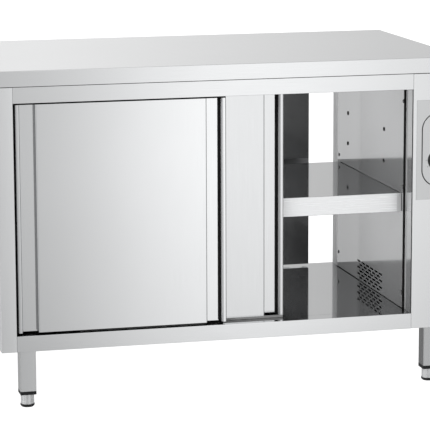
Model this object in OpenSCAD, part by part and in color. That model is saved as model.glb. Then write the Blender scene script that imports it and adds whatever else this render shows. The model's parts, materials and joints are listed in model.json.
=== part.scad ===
// Plate warmer cabinet: a heated pass-through cupboard in folded stainless sheet, with hanging
// sliding doors on both long sides and its heater and controls in a compartment at one end.
// Millimetres. X runs along the width, the control side at +X. The front doors face -Y, the
// rear doors +Y. Z is up, and Z = 0 is the floor under the middle of the cabinet.

/* [Cabinet] */
// Overall width
cabinet_w = 1200; // [1100:10:1500]
// Depth of the worktop
cabinet_d = 700; // [680:10:800]
// Overall height with the feet screwed in
cabinet_h = 850; // [820:10:950]
// Height of the worktop's folded edge
worktop_edge = 40; // [30:1:60]
// Width of the hem under the worktop's edge
worktop_hem = 15; // [8:1:25]
// Step from the worktop's edge back to the body
body_inset = 1; // [0.5:0.5:4]
// Sheet thickness of the body
sheet = 1.5; // [1:0.1:2]

/* [Frame] */
// Width of the post at the end away from the controls
post_w = 40; // [35:1:60]
// Width of the control compartment's front
control_w = 135; // [130:1:180]
// Height of the rail over the doors
rail_h = 40; // [40:1:60]
// Height of the sill under the doors
sill_h = 40; // [25:1:60]
// Depth of the flanges folded back beside the doors
return_d = 45; // [36:1:50]
// How far the inner walls stand into the opening
wall_proud = 3; // [2:0.5:3.5]
// Gap between those flanges and the ends of the inner walls
wall_gap = 12; // [3:1:12]
// Width of the flanges that stiffen the inner walls
wall_flange = 12; // [8:1:20]
// Seam left between sheets that lie edge to edge
seam = 0.2; // [0.1:0.1:0.5]

/* [Legs] */
// Side of the square leg tube
leg_size = 40; // [34:1:50]
// Wall of the leg tube
leg_wall = 1.5; // [1:0.1:3]
// Length of the leg tube below the body
leg_len = 108; // [80:1:160]
// Distance of a leg from the end of the cabinet
leg_inset_x = 51; // [30:1:90]
// Distance of a leg from the front or rear edge of the worktop
leg_inset_y = 28; // [15:1:60]
// Height of the plastic insert's visible collar
insert_h = 9; // [5:1:15]
// Depth of the insert's plug inside the tube
plug_h = 22; // [15:1:40]
// Radius of the foot's metal sleeve
sleeve_r = 17; // [13:0.5:18]
// Height of the foot's metal sleeve
sleeve_h = 25; // [15:1:40]
// Radius of the foot's plastic base
pad_r = 18; // [15:0.5:25]
// Height of the foot's plastic base
pad_h = 8; // [5:1:12]
// Radius of the foot's threaded stem
stem_r = 5.9; // [4.9:0.1:7]
// How far a foot can be unscrewed
foot_travel = 45; // [20:1:50]

/* [Doors] */
// Thickness of a door
door_t = 27; // [26:0.5:28]
// Sheet thickness of a door
door_sheet = 1.2; // [0.8:0.1:1.5]
// Distance of the outer doors behind the face of the frame
door_setback = 7; // [6:0.5:10]
// Distance between the two door lanes
lane_pitch = 35; // [32:1:38]
// Overlap of the two doors of a side when both are shut
door_overlap = 49; // [24:1:60]
// Gap between a shut door and the flange beside it
stop_gap = 6; // [5.5:0.5:8]
// Gap over a door
top_gap = 4.5; // [2:0.5:6]
// Gap under a door
bottom_gap = 6; // [4:0.5:7]
// Width of the lip at a door's end
lip_w = 11; // [8:0.5:16]
// Width of the grip channel beside the lip
grip_w = 39; // [25:1:50]
// Depth of the grip channel
grip_depth = 20; // [12:0.5:20]
// Radius of the folds at the face of a door
fold_r = 3; // [2:0.1:3.5]
// How far the front door away from the controls stands open
front_left_open = 0; // [0:0.5:400]
// How far the front door near the controls stands open
front_right_open = 323.5; // [0:0.5:400]
// How far the rear door away from the controls stands open
rear_left_open = 0; // [0:0.5:400]
// How far the rear door near the controls stands open
rear_right_open = 75; // [0:0.5:400]

/* [Door gear] */
// Radius of a door roller
roller_r = 10; // [9:0.5:11]
// Width of a door roller
roller_w = 6; // [5:0.5:6]
// Depth of the groove around a roller
roller_groove = 2.5; // [1.5:0.1:3]
// Radius of a roller's axle
axle_r = 2.5; // [2:0.1:3]
// Distance of a roller from its door's end
hanger_inset = 60; // [40:1:120]
// Width of the tab that carries a roller
tab_w = 30; // [24:1:40]
// Height of the track's ledge over the opening
ledge_rise = 10; // [8:1:12]
// Wall thickness of the track
track_t = 2; // [1.5:0.1:2.5]
// Height of the guide fins inside the doors
fin_rise = 8; // [5:1:15]

/* [Shelf] */
// Height of the shelf's top over the floor
shelf_z = 492; // [450:1:560]
// Depth of the shelf from front to rear
shelf_d = 542; // [450:1:544]
// Height of the shelf's folded edge
shelf_edge = 49; // [40:1:60]
// Gap between the shelf and the inner walls
shelf_gap = 3; // [2.5:0.5:5]
// Place of the front row of peg holes
peg_front_y = -122; // [-200:1:-80]
// Place of the rear row of peg holes
peg_rear_y = 197; // [80:1:220]
// Radius of a peg hole
peg_r = 4; // [3:0.1:5]
// Distance between peg holes, up the wall
peg_pitch = 84; // [60:1:84]

/* [Warm air grille] */
// Length of a grille slot
slot_l = 28; // [20:1:30]
// Height of a grille slot
slot_h = 5; // [3:0.5:5]
// Distance between slots along a row
slot_pitch = 38; // [34:1:40]
// Distance between rows of slots
slot_row = 9; // [7:0.1:10]
// Slots in the longest rows
slot_count = 6; // [3:1:6]
// Rows of slots
slot_rows = 6; // [2:1:6]
// Height of the lowest row over the inner floor
slot_floor = 9; // [9:1:20]

/* [Controls] */
// Distance of the middle of the control plate below the top of the cabinet
control_drop = 236; // [200:1:290]
// Width of the control plate
plate_w = 116; // [105:1:118]
// Height of the control plate
plate_h = 256; // [210:1:300]
// Width of the long round panel in the plate
bezel_w = 89; // [80:1:90]
// Height of the long round panel in the plate
bezel_h = 191; // [180:1:200]
// Width of the groove around the long round panel
bezel_groove = 2.5; // [1:0.5:4]
// Radius of the thermostat knob
knob_r = 26.5; // [20:0.5:32]
// How far the knob stands out from the plate
knob_h = 21; // [15:0.5:30]
// Drop of the knob below the middle of the plate
knob_drop = 27.5; // [20:0.5:35]
// Rise of the rocker switch over the middle of the plate
switch_rise = 46; // [42:0.5:55]
// Rise of the lamp over the middle of the plate
lamp_rise = 18; // [14:0.5:22]
// Radius of the lamp's lens
lamp_r = 5; // [3:0.5:6]

/* [Heater] */
// Radius of the fan wheel
fan_r = 26; // [20:1:28]
// Length of the fan wheel
fan_l = 190; // [150:1:200]
// Blades on the fan wheel
fan_blades = 24; // [12:1:30]
// Radius of the fan's shaft
fan_shaft_r = 3; // [2.5:0.1:4]
// Radius of the heating tube
heater_r = 4; // [3:0.1:5]
// Runs of the heating tube
heater_runs = 4; // [2:2:4]
// Radius of the hole in the cable gland
gland_r = 5; // [3.5:0.1:6]

/* [Hidden] */

// Finishes
steel = [0.80, 0.81, 0.82];
dark_steel = [0.45, 0.46, 0.47];
black = [0.08, 0.08, 0.08];
nylon = [0.92, 0.91, 0.88];
wool = [0.78, 0.72, 0.52];
copper = [0.72, 0.45, 0.30];
amber = [0.95, 0.55, 0.10];

round_fn = 48;
fine_fn = 32;
cut = 1; // overlap of a cutting body past the face it cuts

// Body
body_x = cabinet_w / 2 - body_inset;
face_y = cabinet_d / 2 - body_inset;
body_z = pad_h + sleeve_h + insert_h + leg_len;
body_top = cabinet_h - worktop_edge;
open_l = -cabinet_w / 2 + post_w;
open_r = cabinet_w / 2 - control_w;
open_bot = body_z + sill_h;
open_top = body_top - rail_h;
return_y = face_y - return_d;
wall_y = return_y - wall_gap;
wall_l = open_l + wall_proud;
wall_r = open_r - wall_proud;

// Doors
door_w = (open_r - open_l - 2 * stop_gap + door_overlap) / 2;
door_z = open_bot + bottom_gap;
door_h = open_top - top_gap - door_z;
door_y = face_y - door_setback;
door_shut_l = open_l + stop_gap;
door_shut_r = open_r - stop_gap - door_w;
lane_end_y = door_y - lane_pitch - door_t;
ceiling_clear = 7;
ceiling_y = lane_end_y - ceiling_clear;

// Vents in the right side panel and under the control compartment
vent_l = 60;
vent_h = 5;
vent_row = 12;
vent_rows = 7;
vent_edge = 60;
intake_rows = 9;
side_hem = 14;
grille_y = -6;

// Door gear, measured from a door's outer face towards the cabinet's middle
run_gap = 0.3;
axle_gap = 0.05;
tab_gap = 0.5;
head_t = 1.2;
head_r = axle_r + 1.5;
liner_in = door_t - door_sheet;
roller_in = liner_in - tab_gap - roller_w;
roller_mid = roller_in + roller_w / 2;
head_in = roller_in - run_gap - head_t;
web_gap = 1.3;
web_in = head_in - web_gap - track_t;
ledge_end = liner_in - tab_gap - run_gap;
ledge_t = 2.5;
ledge_z = open_top + ledge_rise;
rib_w = 1.6;
rib_h = roller_groove + 0.5;
groove_w = rib_w + 1;
axle_z = ledge_z + rib_h + run_gap + roller_r - roller_groove;
tab_over = 5;
tab_top = axle_z + head_r + tab_over;
track_top = body_top - sheet;
stop_l = 10;
stop_clear = 0.5;
fin_t = 2.4;
fin_slot = fin_t + 1.4;
fin_in = (grip_depth + door_sheet + liner_in) / 2;
slot_margin = 3;
fin_end_gap = 1;
fin_l = door_overlap - 2 * (slot_margin + fin_end_gap);
guide_t = 2;
guide_foot = 5;

// Shelf
shelf_l = wall_l + shelf_gap;
shelf_r = wall_r - shelf_gap;
shelf_hem = 14;
peg_drop = 22;
peg_z = shelf_z - peg_drop;
peg_rows = 3;
clip_t = 2;
clip_w = 20;
clip_ledge = 13;
clip_peg_l = 10;
peg_gap = 0.2;

// Legs and feet
leg_x = cabinet_w / 2 - leg_inset_x - leg_size / 2;
leg_y = cabinet_d / 2 - leg_inset_y - leg_size / 2;
tube_z = body_z - leg_len;
leg_cap = 2.5;
plug_gap = 0.2;
stem_gap = 0.3;
stem_grip = 21; // stem left in the insert when a foot is unscrewed all the way
stem_top = tube_z - insert_h + stem_grip + foot_travel;
flutes = 20;
flute_r = 1.4;
flute_edge = 2;

// Screws in the inner walls
screw_r = 3.5;
screw_head = 1.6;
screw_shank_r = 1.75;
screw_l = 8;
screw_edge = 12;
screw_drop = 38;
screw_over_shelf = 18;
screw_rise = 43;
screw_zs = [open_top - screw_drop, shelf_z + screw_over_shelf, open_bot + screw_rise];

// Control compartment
control_x = (open_r + cabinet_w / 2) / 2;
control_z = cabinet_h - control_drop;
plate_t = body_inset;
plate_lap = 5;
bezel_lap = 5;
bezel_y = -face_y + sheet;
knob_z = control_z - knob_drop;
switch_z = control_z + switch_rise;
lamp_z = control_z + lamp_rise;
plate_y = -face_y - plate_t;
knob_skirt = 4;
knob_gap = 0.5;
knob_grip_r = knob_r * 0.7;
knob_bar_w = 12;
knob_bar_rise = 3;
pointer_w = 1.6;
pointer_from = 2;
shaft_r = 3;
shaft_tail = 10;
shaft_hole_gap = 1;
thermo_r = 19;
thermo_l = 28;
thermo_box = [28, 6, 20];
switch_w = 22;
switch_h = 30;
switch_frame = 2;
switch_rim = 3.5;
switch_deep = 22;
switch_well = 12;
lamp_lip = 1.5;
lamp_lip_t = 1.2;
lamp_dome = 2.5;
lamp_tail = 14;
rocker_gap = 0.4;
rocker_tilt = 8;
pivot_r = 1.2;
pivot_l = 1.1; // how far each pivot pin stands out of the rocker's side
rocker_r = switch_h / 2 - switch_rim - rocker_gap - 0.5;

// Heater and fan
duct_x = wall_r + sheet;
duct_w = 96;
duct_h = 92;
duct_t = 1.2;
duct_end = 13; // from an end of the fan wheel to the duct's end
duct_l = fan_l + 2 * duct_end;
duct_y = -8;
duct_rise = 5;
duct_z = open_bot + duct_rise;
fan_side = 58;
fan_x = duct_x + fan_side;
fan_z = duct_z + duct_h / 2;
blade_t = 1;
blade_l = 7;
fan_disc = 1.5;
shaft_end = 20;
shaft_nose = 4;
motor_r = 24;
motor_l = 42;
motor_foot = 2;
heater_side = 14;
heater_x = duct_x + heater_side;
heater_pitch = 18;
heater_run_l = fan_l - 10;
heater_out = 12;
heater_gap = 0.2;
gland_side = 10;
gland_rise = 70;
gland_x = control_x + gland_side;
gland_z = body_z + gland_rise;
gland_thread_r = 10;
gland_hex_r = 14;
gland_hex_h = 8;
gland_dome_r = 12;
gland_nut_h = 5;
gland_thread_end = gland_nut_h + 3;
gland_h = plate_t + knob_h; // stands out as far as the knob, so the middle stays at Y = 0
block_l = 60;
block_h = 20;
block_t = 18;
block_rise = 60;
block_z = gland_z + block_rise;
block_hole_r = 2.5;
block_ways = 5;

// A clipped loom from the terminal block to the thermostat
wire_r = 4;
wire_x = body_x - sheet - wire_r;
wire_block_y = face_y - sheet - block_t - wire_r;
wire_rise = 100;
wire_top_z = control_z + wire_rise;
wire_bend = 20;
wire_back_y = bezel_y + thermo_l + wire_bend;
wire_route = [
    [gland_x, wire_block_y, block_z + block_h / 2],
    [wire_x, wire_block_y, block_z + block_h / 2],
    [wire_x, wire_block_y, wire_top_z],
    [wire_x, wire_back_y, wire_top_z],
    [wire_x, wire_back_y, knob_z],
    [control_x, wire_back_y, knob_z],
    [control_x, bezel_y + thermo_l + thermo_box[1], knob_z]
];

// A block between two corners, and one that repeats at the front and the rear
module block(x, y, z) {
    translate([x[0], y[0], z[0]]) cube([x[1] - x[0], y[1] - y[0], z[1] - z[0]]);
}
module front_and_rear() {
    children();
    mirror([0, 1, 0]) children();
}
module tube_y(r, y, fn = round_fn) {
    translate([0, y[0], 0]) rotate([-90, 0, 0]) cylinder(r = r, h = y[1] - y[0], $fn = fn);
}
// A slot with round ends, lying along Y and cut along X
module slot_y(l, h, x) {
    block(x, [-l / 2 + h / 2, l / 2 - h / 2], [-h / 2, h / 2]);
    for (side = [-1, 1])
        translate([x[0], side * (l - h) / 2, 0]) rotate([0, 90, 0])
            cylinder(d = h, h = x[1] - x[0], $fn = fine_fn);
}

// ---- Body ----
module worktop() {
    w = cabinet_w / 2;
    d = cabinet_d / 2;
    color(steel) difference() {
        block([-w, w], [-d, d], [body_top, cabinet_h]);
        block([-w + sheet, w - sheet], [-d + sheet, d - sheet],
            [body_top + sheet, cabinet_h - sheet]);
        block([-w + worktop_hem, w - worktop_hem], [-d + worktop_hem, d - worktop_hem],
            [body_top - cut, body_top + sheet + cut]);
    }
}

module left_side_panel() {
    color(steel) {
        block([-body_x, -body_x + sheet], [-face_y, face_y], [body_z, body_top]);
        front_and_rear() {
            block([-body_x, open_l], [-face_y, -face_y + sheet], [body_z, body_top]);
            block([open_l - sheet, open_l], [-face_y, -return_y], [body_z + sheet, body_top]);
        }
    }
}

module right_side_panel() {
    color(steel) difference() {
        union() {
            block([body_x - sheet, body_x], [-face_y + sheet, face_y - sheet],
                [body_z, body_top]);
            front_and_rear() block([body_x - side_hem, body_x],
                [-face_y + sheet, -face_y + 2 * sheet], [body_z + sheet, body_top]);
        }
        for (z = [body_z + vent_edge, body_top - vent_edge - (vent_rows - 1) * vent_row],
            y = [-vent_l, vent_l], row = [0 : vent_rows - 1])
            translate([0, y, z + row * vent_row])
                slot_y(vent_l, vent_h, [body_x - sheet - cut, body_x + cut]);
    }
}

module top_rail() {
    color(steel) {
        block([open_l, open_r], [-face_y, -face_y + sheet], [open_top, body_top]);
        block([open_l, open_r], [-face_y + sheet, -ceiling_y], [track_top, body_top]);
        block([open_l, open_r], [-face_y + sheet, -door_y - cut], [open_top, open_top + sheet]);
    }
}
module front_top_rail() top_rail();
module rear_top_rail() mirror([0, 1, 0]) top_rail();

module sill() {
    color(steel) {
        block([open_l, open_r], [-face_y, -face_y + sheet], [body_z, open_bot]);
        block([open_l, open_r], [-face_y + sheet, -return_y], [open_bot - sheet, open_bot]);
    }
}
module front_sill() sill();
module rear_sill() mirror([0, 1, 0]) sill();

module control_blank() {
    block([open_r, body_x], [-face_y, -face_y + sheet], [body_z, body_top]);
    block([open_r, open_r + sheet], [-face_y, -return_y], [body_z + sheet, body_top]);
}
module control_front_panel() {
    window_x = plate_w / 2 - plate_lap;
    window_z = plate_h / 2 - plate_lap;
    color(steel) difference() {
        control_blank();
        block([control_x - window_x, control_x + window_x], [-face_y - cut, -face_y + sheet + cut],
            [control_z - window_z, control_z + window_z]);
    }
}
module control_rear_panel() {
    color(steel) difference() {
        mirror([0, 1, 0]) control_blank();
        translate([gland_x, 0, gland_z])
            tube_y(gland_thread_r + run_gap, [face_y - sheet - cut, face_y + cut]);
    }
}

// Slots under the control compartment let cool air in
module bottom_panel() {
    color(steel) difference() {
        block([-body_x + sheet, body_x - sheet], [-face_y + sheet, face_y - sheet],
            [body_z, body_z + sheet]);
        for (row = [0 : intake_rows - 1])
            translate([control_x, (row - (intake_rows - 1) / 2) * vent_row, body_z + sheet / 2])
                rotate([0, 90, 90]) slot_y(vent_l, vent_h, [-sheet, sheet]);
    }
}

module inner_floor() {
    color(steel) block([wall_l - sheet, wall_r + sheet], [-return_y + seam, return_y - seam],
        [open_bot - sheet, open_bot]);
}

module inner_ceiling() {
    color(steel) {
        block([wall_l - sheet, wall_r + sheet], [-ceiling_y, ceiling_y],
            [open_top, open_top + sheet]);
        front_and_rear() block([wall_l - sheet, wall_r + sheet],
            [-ceiling_y, -ceiling_y + sheet], [open_top, track_top]);
    }
}

// An inner wall, its face at x = 0 and its flanges towards -X
module inner_wall() {
    block([-sheet, 0], [-wall_y, wall_y], [open_bot, open_top]);
    front_and_rear() block([-sheet - wall_flange, 0], [-wall_y, -wall_y + sheet],
        [open_bot, open_top]);
}
module peg_hole_places(rows) {
    for (y = [peg_front_y, peg_rear_y], row = rows)
        translate([0, y, peg_z + row * peg_pitch]) children();
}
module screw_places() {
    for (y = [-1, 1], z = screw_zs)
        translate([0, y * (wall_y - screw_edge), z]) children();
}
module wall_holes() {
    peg_hole_places([0 : peg_rows - 1]) rotate([0, 90, 0])
        cylinder(r = peg_r, h = 4 * sheet, center = true, $fn = round_fn);
    screw_places() rotate([0, 90, 0])
        cylinder(r = screw_shank_r + seam, h = 4 * sheet, center = true, $fn = fine_fn);
}
module left_inner_wall() {
    color(steel) difference() {
        translate([wall_l, 0, 0]) inner_wall();
        translate([wall_l - sheet / 2, 0, 0]) wall_holes();
    }
}
module right_inner_wall() {
    color(steel) difference() {
        translate([wall_r, 0, 0]) mirror([1, 0, 0]) inner_wall();
        translate([wall_r + sheet / 2, 0, 0]) wall_holes();
        for (row = [0 : slot_rows - 1]) {
            short = (slot_rows - 1 - row) % 2;
            slots = slot_count - short;
            for (i = [0 : slots - 1])
                translate([wall_r, grille_y + (i - (slots - 1) / 2) * slot_pitch,
                    open_bot + slot_floor + row * slot_row])
                    slot_y(slot_l, slot_h, [-cut, sheet + cut]);
        }
    }
}

module insulation() {
    side_x = wall_l - sheet - wall_flange;
    color(wool) {
        block([wall_l, wall_r], [-wall_y, wall_y], [body_z + sheet, open_bot - sheet]);
        block([wall_l, wall_r], [-ceiling_y + sheet, ceiling_y - sheet],
            [open_top + sheet, cabinet_h - sheet]);
        block([-body_x + sheet, side_x], [-wall_y, wall_y], [body_z + sheet, open_top]);
    }
}

// ---- Door gear ----
// Carries its children to a lane: 0 is the outer lane, 1 the inner one, on the front side
module lane(n) translate([0, -door_y + n * lane_pitch, 0]) children();

module door_track() {
    ends = [open_l + cut, open_r - cut];
    for (n = [0, 1]) lane(n) {
        block(ends, [web_in, web_in + track_t], [ledge_z - ledge_t, track_top]);
        block(ends, [web_in, ledge_end], [ledge_z - ledge_t, ledge_z]);
        block(ends, [web_in, ledge_end], [track_top - track_t, track_top]);
        block(ends, [roller_mid - rib_w / 2, roller_mid + rib_w / 2],
            [ledge_z - ledge_t / 2, ledge_z + rib_h]);
    }
}
module door_tracks() color([0.75, 0.76, 0.77]) front_and_rear() door_track();

// A rubber block at each end of a track stops the roller, and a fin on the floor in the
// middle of the opening keeps the doors from swinging
module lane_stop(x) {
    difference() {
        block([x, x + stop_l], [web_in + track_t, ledge_end], [ledge_z, axle_z]);
        block([x - cut, x + stop_l + cut],
            [roller_mid - rib_w / 2 - seam, roller_mid + rib_w / 2 + seam],
            [ledge_z - cut, ledge_z + rib_h + seam]);
    }
}
module door_stops_and_guides() {
    reach = hanger_inset - roller_r - stop_clear;
    mid = (open_l + open_r) / 2;
    color(black) front_and_rear() {
        for (n = [0, 1]) lane(n) {
            lane_stop(door_shut_l + reach - stop_l);
            lane_stop(open_r - stop_gap - reach);
        }
        for (n = [0, 1]) lane(n)
            block([mid - fin_l / 2, mid + fin_l / 2], [fin_in - fin_t / 2, fin_in + fin_t / 2],
                [open_bot + guide_t / 2, door_z + fin_rise]);
        block([mid - fin_l / 2, mid + fin_l / 2],
            [-door_y + fin_in - guide_foot, -door_y + lane_pitch + fin_in + guide_foot],
            [open_bot, open_bot + guide_t]);
    }
}

// ---- Doors: built at the left end of lane 0, facing -Y ----
// A folded stretch of the door's section with round front corners
module fold(x, y, r) {
    translate([x[0] + r, y[0]]) square([x[1] - x[0] - 2 * r, y[1] - y[0]]);
    translate([x[0], y[0] + r]) square([x[1] - x[0], y[1] - y[0] - r]);
    for (cx = [x[0] + r, x[1] - r]) translate([cx, y[0] + r]) circle(r = r, $fn = fine_fn);
}
// The door's section, drawn in by `t` from the outside
module door_section(t, back) {
    r = fold_r - t;
    fold([t, lip_w - t], [t, back], r);
    fold([lip_w + grip_w + t, door_w - lip_w - grip_w - t], [t, back], r);
    fold([door_w - lip_w + t, door_w - t], [t, back], r);
    translate([t, grip_depth + t]) square([door_w - 2 * t, back - grip_depth - t]);
}
module door_skin() {
    difference() {
        union() {
            linear_extrude(door_h) difference() {
                door_section(0, liner_in);
                door_section(door_sheet, liner_in + cut);
            }
            for (z = [0, door_h - door_sheet]) translate([0, 0, z])
                linear_extrude(door_sheet) door_section(0, liner_in);
        }
        block([slot_margin, door_w - slot_margin],
            [fin_in - fin_slot / 2, fin_in + fin_slot / 2], [-cut, door_sheet + cut]);
    }
}
function roller_x(which) = which == 0 ? hanger_inset : door_w - hanger_inset;
module door_liner() {
    block([0, door_w], [liner_in, door_t], [0, door_h]);
    for (which = [0, 1]) translate([roller_x(which), 0, 0]) {
        block([-tab_w / 2, tab_w / 2], [liner_in, door_t], [door_h - cut, tab_top - door_z]);
        translate([0, 0, axle_z - door_z]) {
            tube_y(axle_r, [head_in, door_t]);
            tube_y(head_r, [head_in, head_in + head_t]);
        }
    }
}
module roller(which) {
    translate([roller_x(which), 0, axle_z - door_z]) difference() {
        tube_y(roller_r, [roller_in, roller_in + roller_w]);
        difference() {
            tube_y(roller_r + cut, [roller_mid - groove_w / 2, roller_mid + groove_w / 2]);
            tube_y(roller_r - roller_groove, [roller_in, roller_in + roller_w]);
        }
        tube_y(axle_r + axle_gap, [roller_in - cut, roller_in + roller_w + cut]);
    }
}
// The left end of each door where it stands, its lane, and its side of the cabinet
module at_door(x, n, rear = false) {
    mirror([0, rear ? 1 : 0, 0]) lane(n) translate([x, 0, door_z]) children();
}
module at_front_left() at_door(door_shut_l + front_left_open, 0) children();
module at_front_right() at_door(door_shut_r - front_right_open, 1) children();
module at_rear_left() at_door(door_shut_l + rear_left_open, 1, true) children();
module at_rear_right() at_door(door_shut_r - rear_right_open, 0, true) children();

module front_left_door() color(steel) at_front_left() door_skin();
module front_right_door() color(steel) at_front_right() door_skin();
module rear_left_door() color(steel) at_rear_left() door_skin();
module rear_right_door() color(steel) at_rear_right() door_skin();
module front_left_door_liner() color(dark_steel) at_front_left() door_liner();
module front_right_door_liner() color(dark_steel) at_front_right() door_liner();
module rear_left_door_liner() color(dark_steel) at_rear_left() door_liner();
module rear_right_door_liner() color(dark_steel) at_rear_right() door_liner();
module front_left_roller(which) color(nylon) at_front_left() roller(which);
module front_right_roller(which) color(nylon) at_front_right() roller(which);
module rear_left_roller(which) color(nylon) at_rear_left() roller(which);
module rear_right_roller(which) color(nylon) at_rear_right() roller(which);

// ---- Shelf ----
module shelf() {
    y = shelf_d / 2;
    color(steel) difference() {
        block([shelf_l, shelf_r], [-y, y], [shelf_z - shelf_edge, shelf_z]);
        block([shelf_l + sheet, shelf_r - sheet], [-y + sheet, y - sheet],
            [shelf_z - shelf_edge + sheet, shelf_z - sheet]);
        block([shelf_l + shelf_hem, shelf_r - shelf_hem], [-y + shelf_hem, y - shelf_hem],
            [shelf_z - shelf_edge - cut, shelf_z - shelf_edge + sheet + cut]);
    }
}
// A clip hangs by its peg from a hole, its plate flat on the wall at x = 0, ledge towards +X
module shelf_clip() {
    ledge = shelf_z - shelf_edge;
    block([0, clip_t], [-clip_w / 2, clip_w / 2], [ledge - clip_t, peg_z + 2 * peg_r]);
    block([0, clip_ledge], [-clip_w / 2, clip_w / 2], [ledge - clip_t, ledge]);
    translate([-clip_peg_l, 0, peg_z]) rotate([0, 90, 0])
        cylinder(r = peg_r - peg_gap, h = clip_peg_l + clip_t / 2, $fn = round_fn);
}
module shelf_clips() {
    color([0.6, 0.61, 0.62]) for (y = [peg_front_y, peg_rear_y]) translate([0, y, 0]) {
        translate([wall_l, 0, 0]) shelf_clip();
        translate([wall_r, 0, 0]) mirror([1, 0, 0]) shelf_clip();
    }
}

module wall_screw() {
    rotate([0, 90, 0]) {
        cylinder(r = screw_r, h = screw_head, $fn = fine_fn);
        translate([0, 0, -screw_l]) cylinder(r = screw_shank_r, h = screw_l + cut, $fn = fine_fn);
    }
}
module wall_screws() {
    color(dark_steel) screw_places() {
        translate([wall_l, 0, 0]) wall_screw();
        translate([wall_r, 0, 0]) mirror([1, 0, 0]) wall_screw();
    }
}

// ---- Legs ----
module at_leg(sx, sy) translate([sx * leg_x, sy * leg_y, 0]) children();
module every_leg() for (sx = [-1, 1], sy = [-1, 1]) at_leg(sx, sy) children();

module legs() {
    hollow = leg_size - 2 * leg_wall;
    color(steel) every_leg() difference() {
        translate([-leg_size / 2, -leg_size / 2, tube_z]) cube([leg_size, leg_size, leg_len]);
        translate([-hollow / 2, -hollow / 2, tube_z - cut])
            cube([hollow, hollow, leg_len - leg_cap + cut]);
    }
}
module leg_inserts() {
    plug = leg_size - 2 * leg_wall - 2 * plug_gap;
    color(black) every_leg() difference() {
        union() {
            translate([-leg_size / 2, -leg_size / 2, tube_z - insert_h])
                cube([leg_size, leg_size, insert_h]);
            translate([-plug / 2, -plug / 2, tube_z - cut]) cube([plug, plug, plug_h + cut]);
        }
        translate([0, 0, tube_z - insert_h - cut])
            cylinder(r = stem_r + stem_gap, h = insert_h + plug_h + 2 * cut, $fn = round_fn);
    }
}
module foot() {
    color(dark_steel) difference() {
        union() {
            translate([0, 0, pad_h]) cylinder(r = sleeve_r, h = sleeve_h, $fn = round_fn);
            translate([0, 0, pad_h + cut]) cylinder(r = stem_r, h = stem_top - pad_h - cut,
                $fn = round_fn);
        }
        for (i = [0 : flutes - 1]) rotate([0, 0, i * 360 / flutes])
            translate([sleeve_r + flute_r / 3, 0, pad_h + flute_edge])
                cylinder(r = flute_r, h = sleeve_h - 2 * flute_edge, $fn = 16);
    }
}
module pad() {
    bevel = pad_h / 2;
    color(black) rotate_extrude($fn = round_fn)
        polygon([[0, 0], [pad_r - bevel, 0], [pad_r, bevel], [pad_r, pad_h], [0, pad_h]]);
}

// ---- Controls ----
// The outline of the long round panel, `grow` larger all round, as a plate between two Y
module long_round(w, h, y) {
    r = w / 2;
    straight = h / 2 - r;
    block([-r, r], y, [-straight, straight]);
    for (side = [-1, 1]) translate([0, 0, side * straight]) tube_y(r, y, 64);
}
module control_plate() {
    color(steel) difference() {
        block([control_x - plate_w / 2, control_x + plate_w / 2], [plate_y, -face_y],
            [control_z - plate_h / 2, control_z + plate_h / 2]);
        translate([control_x, 0, control_z])
            long_round(bezel_w, bezel_h, [plate_y - cut, -face_y + cut]);
    }
}
module control_bezel() {
    island_w = bezel_w - 2 * bezel_groove;
    island_h = bezel_h - 2 * bezel_groove;
    color(steel) difference() {
        translate([control_x, 0, control_z]) {
            long_round(island_w, island_h, [plate_y, bezel_y]);
            long_round(bezel_w + bezel_lap, bezel_h + bezel_lap, [bezel_y - sheet, bezel_y]);
        }
        translate([control_x, 0, knob_z])
            tube_y(shaft_r + shaft_hole_gap, [plate_y - cut, bezel_y + cut]);
        translate([control_x, 0, lamp_z]) tube_y(lamp_r, [plate_y - cut, bezel_y + cut]);
        translate([control_x, 0, switch_z])
            block([-switch_w / 2 + switch_frame, switch_w / 2 - switch_frame],
                [plate_y - cut, bezel_y + cut],
                [-switch_h / 2 + switch_frame, switch_h / 2 - switch_frame]);
    }
}
module thermostat_knob() {
    back = plate_y - knob_gap;
    front = plate_y - knob_h;
    color(black) translate([control_x, 0, knob_z]) difference() {
        union() {
            tube_y(knob_r, [back - knob_skirt, back], 64);
            tube_y(knob_grip_r, [front + knob_bar_rise, back - cut], 64);
            block([-knob_bar_w / 2, knob_bar_w / 2], [front, back - knob_skirt],
                [1 - knob_grip_r, knob_grip_r - 1]);
            tube_y(shaft_r, [back - cut, bezel_y + shaft_tail]);
        }
        block([-pointer_w / 2, pointer_w / 2], [front - cut, front + pointer_w / 2],
            [pointer_from, knob_grip_r]);
    }
}
module thermostat_body() {
    color([0.85, 0.85, 0.83]) translate([control_x, 0, knob_z]) difference() {
        union() {
            tube_y(thermo_r, [bezel_y, bezel_y + thermo_l]);
            block([-thermo_box[0] / 2, thermo_box[0] / 2],
                [bezel_y + thermo_l - cut, bezel_y + thermo_l + thermo_box[1]],
                [-thermo_box[2] / 2, thermo_box[2] / 2]);
        }
        tube_y(shaft_r + axle_gap, [bezel_y - cut, bezel_y + shaft_tail + cut]);
    }
}
module rocker_housing() {
    w = switch_w / 2;
    h = switch_h / 2;
    inner = switch_frame + seam;
    color(black) translate([control_x, 0, switch_z]) difference() {
        union() {
            block([-w, w], [plate_y - switch_frame, plate_y], [-h, h]);
            block([-w + inner, w - inner], [plate_y - cut, plate_y + switch_deep],
                [-h + inner, h - inner]);
        }
        block([-w + switch_rim, w - switch_rim],
            [plate_y - switch_frame - cut, plate_y + switch_well],
            [-h + switch_rim, h - switch_rim]);
        translate([0, plate_y, 0]) rotate([0, 90, 0])
            cylinder(r = pivot_r + axle_gap, h = 2 * (w - switch_rim + pivot_l), center = true,
                $fn = fine_fn);
    }
}
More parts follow.
